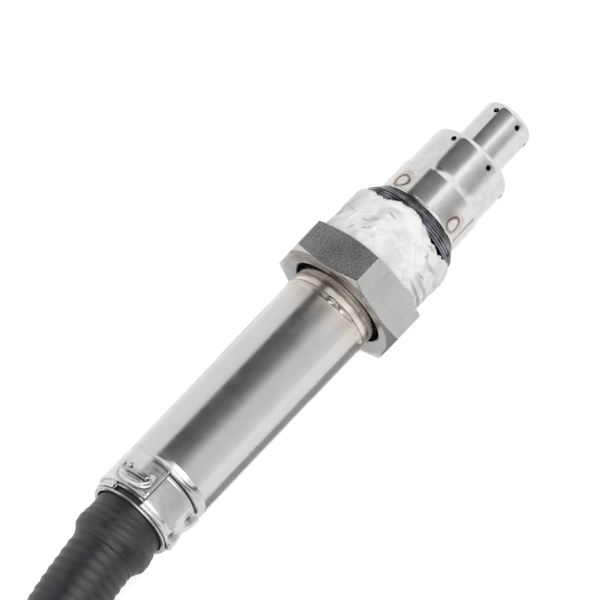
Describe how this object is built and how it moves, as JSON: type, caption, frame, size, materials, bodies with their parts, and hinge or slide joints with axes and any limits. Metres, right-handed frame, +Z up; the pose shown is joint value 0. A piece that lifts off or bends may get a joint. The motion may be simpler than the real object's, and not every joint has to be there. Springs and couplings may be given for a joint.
{
  "type": "nitrogen oxide sensor",
  "caption": "Screw-in nitrogen oxide sensor probe: stepped protector with gas holes, swivel nut with thread, steel tube, ear clamp, rubber boot and coiled lead with plug.",
  "frame": {"origin": "on the probe's axis, where the full thread begins behind the nut's front chamfer", "axes": "+X along the probe to its tip, +Z up from the surface that the nut's flat lies on"},
  "size_m": [0.2287, 0.1564, 0.0226],
  "materials": {
    "protector_steel": "polished drawn sheet",
    "body_steel": "heat-tinted",
    "nut_steel": "grainy machined",
    "tube_steel": "satin drawn tube",
    "clamp_steel": "bright pressed strip",
    "weld": "weld bead with heat tint",
    "spring_metal": "plated spring strip",
    "terminal_metal": "plated",
    "zirconia": "fired ceramic, matt",
    "alumina": "fired ceramic, matt",
    "talc": "pressed powder",
    "anti_seize_paste": "dried white paste",
    "wire_cover": "extruded insulation",
    "seal_rubber": "moulded",
    "boot_rubber": "moulded, soft sheen",
    "sleeve": "ribbed, soft sheen",
    "plug_plastic": "moulded",
    "plug_seal": "moulded silicone",
    "retainer_plastic": "moulded"
  },
  "bodies": {
    "root": {"outer_protector": "protector_steel", "inner_protector": "protector_steel", "sensing_element": "zirconia", "sensor_body": "body_steel", "ceramic_holder": "alumina", "talc_packing": "talc", "ceramic_sleeve": "alumina", "packing_ring": "body_steel", "neck_weld": "weld", "rear_tube": "tube_steel", "contact_insulator": "alumina", "contact_springs": "spring_metal", "insulator_clip": "clamp_steel", "lead_wires": "wire_cover", "grommet": "seal_rubber", "rubber_boot": "boot_rubber", "crimp_ferrule": "clamp_steel", "ear_clamp": "clamp_steel", "lead_sleeve": "sleeve", "lead_coil": "sleeve", "lead_tail": "sleeve", "plug_boot": "boot_rubber", "plug_housing": "plug_plastic", "plug_seal": "plug_seal", "plug_terminals": "terminal_metal", "plug_retainer": "retainer_plastic"},
    "nut": {"swivel_nut": "nut_steel", "thread_paste": "anti_seize_paste"}
  },
  "joints": [
    {"name": "nut_spin", "type": "hinge", "parent": "root", "child": "nut", "pos_m": [0, 0, 0], "axis": [1, 0, 0], "continuous": true}
  ]
}
